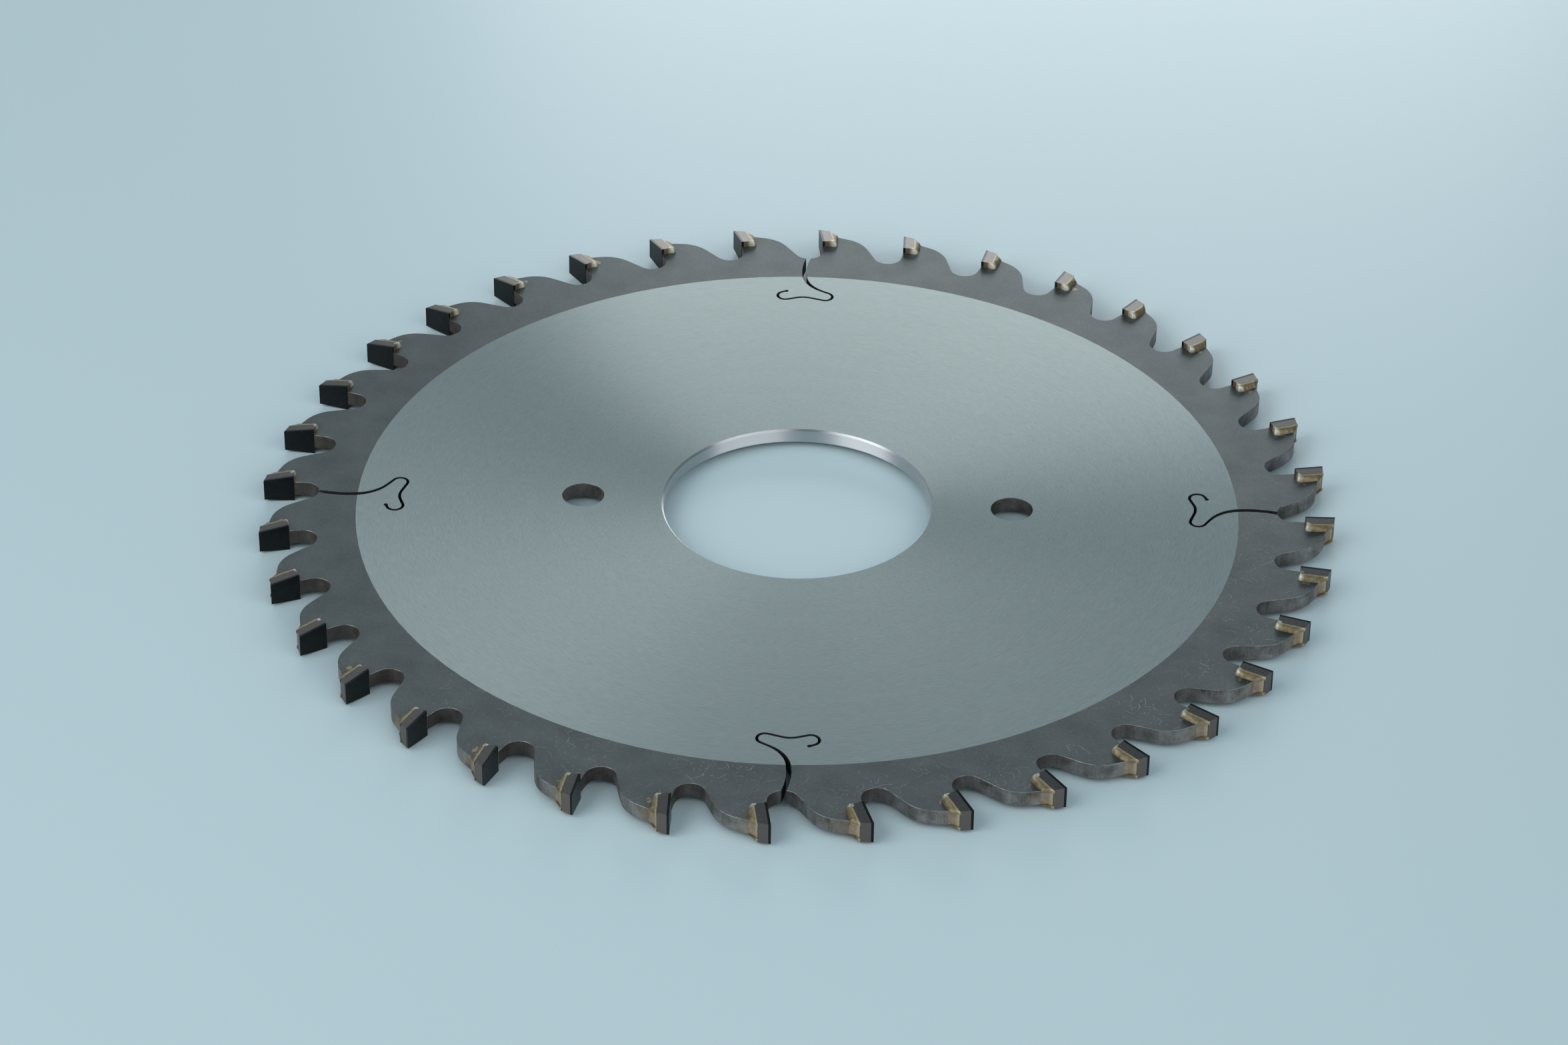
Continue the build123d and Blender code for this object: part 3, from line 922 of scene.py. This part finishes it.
# %% [markdown]
# ## One fillet
#
# A flat grid is made for each side of each tip, and each of its vertices is moved to its place and then a
# little further by a noise, so that no two fillets are alike. The last columns go round below the plate's
# face and come back to the first, where the two are welded. The faces of the crest take the ground braze.

# %% One fillet
FILLET_DEPTH = 0.05 * MM
LUMP = 0.8 * MM
LUMP_HEIGHT = 0.06 * MM
SLOPE_LUMP = 0.5 * LUMP
WIDTH_LUMPS = 0.12


def fillet_point(place, station, step, side):
    """Where one vertex of a fillet lies."""
    foot, turn, width = station
    section = fillet_section()
    way = Vector((cos(radians(turn)), sin(radians(turn)), 0))
    spot = place @ (foot + way * width)
    width *= 1 + WIDTH_LUMPS * noise.noise(Vector((spot.x, spot.y, side * plate_top)) / LUMP)
    if step == len(section) + 2:
        step = 0
    if step >= len(section):
        out = width if step == len(section) else -FILLET_DEPTH
        return place @ (foot + way * out) + Vector((0, 0, plate_top - FILLET_DEPTH))
    share, rise = section[step]
    crest = flank_height(foot + way * width * min(share, CREST_SHARE))
    point = place @ (foot + way * width * share) + Vector((0, 0, plate_top + crest * rise))
    if 1 < step < len(section) - 1:
        lump = noise.noise(Vector((point.x, point.y, point.z * side)) / SLOPE_LUMP)
        point.z = min(point.z + LUMP_HEIGHT * lump, plate_top + crest)
    return point


def add_fillet(work, tooth, side):
    """Adds one closed, uneven fillet of braze, above the plate for side 1 and below it for side -1."""
    stations = fillet_stations()
    ring = len(fillet_section()) + 3
    grid = bmesh.ops.create_grid(work, x_segments=len(stations) - 1, y_segments=ring - 1, size=1)
    place = tooth_frame(tooth)
    crest = []
    for vert in grid["verts"]:
        station = round((vert.co.x + 1) / 2 * (len(stations) - 1))
        step = round((vert.co.y + 1) / 2 * (ring - 1))
        if step <= 1:
            crest.append(vert)
        vert.co = fillet_point(place, stations[station], step, side)
        vert.co.z *= side
    for face in {face for vert in crest for face in vert.link_faces}:
        face.material_index = 1 if all(vert in crest for vert in face.verts) else 0
    bmesh.ops.remove_doubles(work, verts=grid["verts"], dist=WELD)


print(f"a fillet's crest is {flank_height(root_front) / MM:.2f} mm high at the root's front")

# %% [markdown]
# ## The film and its bead
#
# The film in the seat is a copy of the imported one, cut off level with the plate on both sides, because
# the fillets take over there. Their open ends are filled. The braze also stands on the tooth's back as a
# bead. Its outer faces are divided and made uneven by a noise that fades out towards the tip, so that
# they still meet it.

# %% The film and its bead
BEAD_BEHIND = 1.4 * MM
BEAD_OUTER = 0.8 * MM
BEAD_INNER = 2.6 * MM
BEAD_UPRIGHT = 0.1
BEAD_LEAN = 0.3
BEAD_CUTS = 9
BEAD_FADE = 0.3 * MM
BEAD_LUMP = 0.7 * LUMP
BEAD_HEIGHT = 0.09 * MM
BEAD_OUT = Vector((0.62, -0.78, 0))


def bead_faces(work, into_tooth):
    """The faces of the bead on one tooth's back, where it looks backwards and out."""
    faces = []
    for face in work.faces:
        middle = into_tooth @ face.calc_center_median()
        behind = -tip_thickness - BEAD_BEHIND < middle.y < -tip_thickness
        if abs(face.normal.z) < BEAD_UPRIGHT and behind and -BEAD_INNER < middle.x < -BEAD_OUTER:
            across = into_tooth.to_3x3() @ face.normal
            if across.x > BEAD_LEAN and across.y < -BEAD_LEAN:
                faces.append(face)
    return faces


def uneven_bead(work, tooth):
    """Divides the bead on the tooth's back and makes its surface uneven."""
    into_tooth = tooth_frame(tooth).inverted()
    faces = set(bead_faces(work, into_tooth))
    edges = [edge for edge in work.edges if faces.intersection(edge.link_faces)]
    made = bmesh.ops.subdivide_edges(work, edges=edges, cuts=BEAD_CUTS, use_grid_fill=True)
    verts = set()
    for item in made["geom_inner"] + edges:
        verts.update([item] if isinstance(item, bmesh.types.BMVert) else item.verts)
    out = tooth_frame(tooth).to_3x3() @ BEAD_OUT
    for vert in verts:
        own = into_tooth @ vert.co
        free = min(1, max(0, (-tip_thickness - own.y) / BEAD_FADE))
        vert.co += out * (BEAD_HEIGHT * free * noise.noise(vert.co / BEAD_LUMP))
    return len(faces)


def level_film(work):
    """Cuts the film off level with the plate, above and below, and closes the cuts."""
    for side in (1, -1):
        level = (0, 0, side * (plate_top - WELD))
        up = (0, 0, side)
        geom = list(work.verts) + list(work.edges) + list(work.faces)
        cut = bmesh.ops.bisect_plane(work, geom=geom, plane_co=level, plane_no=up, clear_outer=True)
        rim = [item for item in cut["geom_cut"] if isinstance(item, bmesh.types.BMEdge)]
        bmesh.ops.holes_fill(work, edges=rim, sides=0)


def braze_piece(sector, teeth):
    """The braze of one sector: the film in the seats with its beads, and two fillets at each tip."""
    work = welded_copy(f"braze_joints_sector_{sector}")
    bmesh.ops.dissolve_limit(work, angle_limit=FLAT_ANGLE, verts=work.verts, edges=work.edges)
    level_film(work)
    beads = [uneven_bead(work, tooth) for tooth in teeth]
    for tooth in teeth:
        add_fillet(work, tooth, 1)
        add_fillet(work, tooth, -1)
    ends = [edge for edge in work.edges if edge.is_boundary]
    bmesh.ops.holes_fill(work, edges=ends, sides=0)
    bmesh.ops.recalc_face_normals(work, faces=work.faces)
    open_edges = sum(edge.is_boundary for edge in work.edges)
    print("braze", sector, "bead faces", beads, "faces", len(work.faces), "open edges", open_edges)
    return new_piece(work, f"braze_{sector}", [set_finish, crest_finish], smooth_angle=55)


sectors = [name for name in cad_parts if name.startswith("braze_joints_sector_")]
per_sector = tooth_count // len(sectors)
for number in range(1, len(sectors) + 1):
    piece = braze_piece(number, range((number - 1) * per_sector, number * per_sector))
    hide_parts(f"braze_joints_sector_{number}")

# %% [markdown]
# ## The table
#
# The blade lies on a smooth pale blue sheet that mirrors a little at a low angle. A curved backdrop would
# show a bend behind the blade. From this height one large flat sheet fills the whole picture.

# %% The table
FLOOR_HALF = 3.0
floor_mesh = bmesh.new()
bmesh.ops.create_grid(floor_mesh, x_segments=1, y_segments=1, size=FLOOR_HALF)
bmesh.ops.translate(floor_mesh, verts=floor_mesh.verts, vec=(0, 0, tips_low))
floor_data = bpy.data.meshes.new("table_sheet")
floor_mesh.to_mesh(floor_data)
floor_mesh.free()
floor = bpy.data.objects.new("table_sheet", floor_data)
bpy.context.scene.collection.objects.link(floor)
sheet = new_material("pale_blue_sheet")[0]
floor_data.materials.append(finish_material(sheet, Base_Color=linear("bdd2d8"), Roughness=0.42))

# %% [markdown]
# ## Light
#
# A metal shows little but what it mirrors. A pale surrounding gives the even light, and four large soft
# panels give the metal something to mirror. Each panel draws light sectors on the ground face, and the
# two at the sides draw the bright bands in the bore, so the panels stand where the photograph asks for
# these. They are large for their power, so that a low view doesn't mirror them as pure white.

# %% World and panels
world = bpy.data.worlds.new("studio")
bpy.context.scene.world = world
world.use_nodes = True
world.node_tree.nodes.clear()
surround = add_node(world.node_tree, "Background", {"Color": linear("c6e2f0"), "Strength": 0.28})
add_node(world.node_tree, "OutputWorld", {"Surface": surround})


def panel(name, azimuth, elevation, distance, width, height, watts):
    """A soft panel that looks at the bore's centre from this azimuth and elevation."""
    data = bpy.data.lights.new(name, "AREA")
    data.shape = "RECTANGLE"
    data.size = width
    data.size_y = height
    data.energy = watts
    lamp = bpy.data.objects.new(name, data)
    bpy.context.scene.collection.objects.link(lamp)
    turn = Matrix.Rotation(radians(azimuth + 90), 4, "Z") @ Matrix.Rotation(radians(90 - elevation), 4, "X")
    lamp.matrix_world = turn @ Matrix.Translation((0, 0, distance))
    lamp.visible_camera = False
    print(name, "at", azimuth, "degrees,", round(watts / (width * height), 1), "W per square metre")


panel("back_panel", 84, 14, 0.485, 0.31, 0.147, 0.55)
panel("upper_left_panel", 169, 49, 0.545, 1.618, 0.366, 0.8)
panel("right_panel", -46, 30, 1.1, 1.2, 1.1, 7.5)
panel("left_panel", -144, 30, 1.1, 0.95, 1.1, 7.9)

# %% [markdown]
# ## The camera
#
# The photograph was taken with a long lens from about 34 degrees above the table. The camera could be
# aimed by a constraint, but its place was fitted to the corners of the tips, the bore and the pin holes,
# so it is given as the plain numbers of that fit: the camera's height, turn and roll, its distance, and
# the point it looks at.

# %% The camera
CAMERA_ELEVATION = radians(33.713)
CAMERA_ROLL = radians(0.656)
CAMERA_TURN = radians(2.301)
CAMERA_DISTANCE = 792.2 * MM
CAMERA_LENS = 108.4
AIM_RIGHT = 2.22 * MM
AIM_UP = 3.90 * MM
AIM_HEIGHT = 1.85 * MM

camera_data = bpy.data.cameras.new("camera")
camera_data.sensor_width = 36
camera_data.lens = CAMERA_LENS
camera = bpy.data.objects.new("camera", camera_data)
bpy.context.scene.collection.objects.link(camera)
bpy.context.scene.camera = camera
base = Matrix(((1, 0, 0), (0, 0, -1), (0, 1, 0)))
into_view = Matrix.Rotation(CAMERA_ROLL, 3, "Z") @ Matrix.Rotation(CAMERA_ELEVATION, 3, "X") @ base
flip = Matrix(((1, 0, 0), (0, -1, 0), (0, 0, -1)))
offset = Vector((AIM_RIGHT, -AIM_UP, CAMERA_DISTANCE))
place = into_view.transposed() @ -offset
turned = Matrix.Rotation(CAMERA_TURN, 4, "Z")
stand = Matrix.Translation(place) @ (into_view.transposed() @ flip).to_4x4()
camera.matrix_world = Matrix.Translation((0, 0, AIM_HEIGHT)) @ turned @ stand
print("camera at", [round(c / MM, 1) for c in camera.matrix_world.translation])

# %% [markdown]
# ## The view transform
#
# The picture keeps Blender's plain view transform, so that a colour renders about as it is written.

# %% The view transform
bpy.context.scene.view_settings.view_transform = "Standard"
